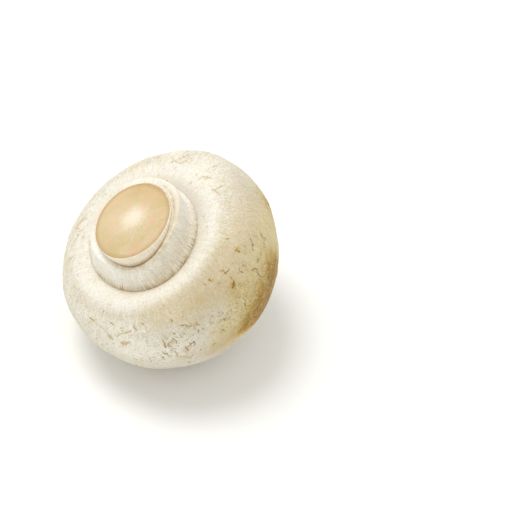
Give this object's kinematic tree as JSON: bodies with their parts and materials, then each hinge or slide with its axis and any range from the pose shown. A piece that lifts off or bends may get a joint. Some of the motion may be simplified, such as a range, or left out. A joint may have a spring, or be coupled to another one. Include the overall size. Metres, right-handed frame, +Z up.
{
  "type": "button mushroom",
  "caption": "Whole closed white button mushroom with a rolled cap margin, an unbroken veil and a short trimmed stem, lying on its crown.",
  "frame": {"origin": "centre of the flat spot on the crown that the mushroom rests on", "axes": "+Z up from the surface that it rests on; the stem leans from +Z towards -X in the XZ plane; the resting spot faces -Z"},
  "size_m": [0.0508, 0.0525, 0.0434],
  "materials": {
    "cap_skin": "soft matt cream-white skin with fine radial fibres, small tan flecks and a browned side",
    "veil_fibre": "matt greyish cream radial fibres, olive brown where they meet the cap",
    "stem_flesh": "satin tan cut end with a paler cream side"
  },
  "bodies": {
    "root": {"cap": "cap_skin", "veil": "veil_fibre", "stem": "stem_flesh"}
  },
  "joints": []
}
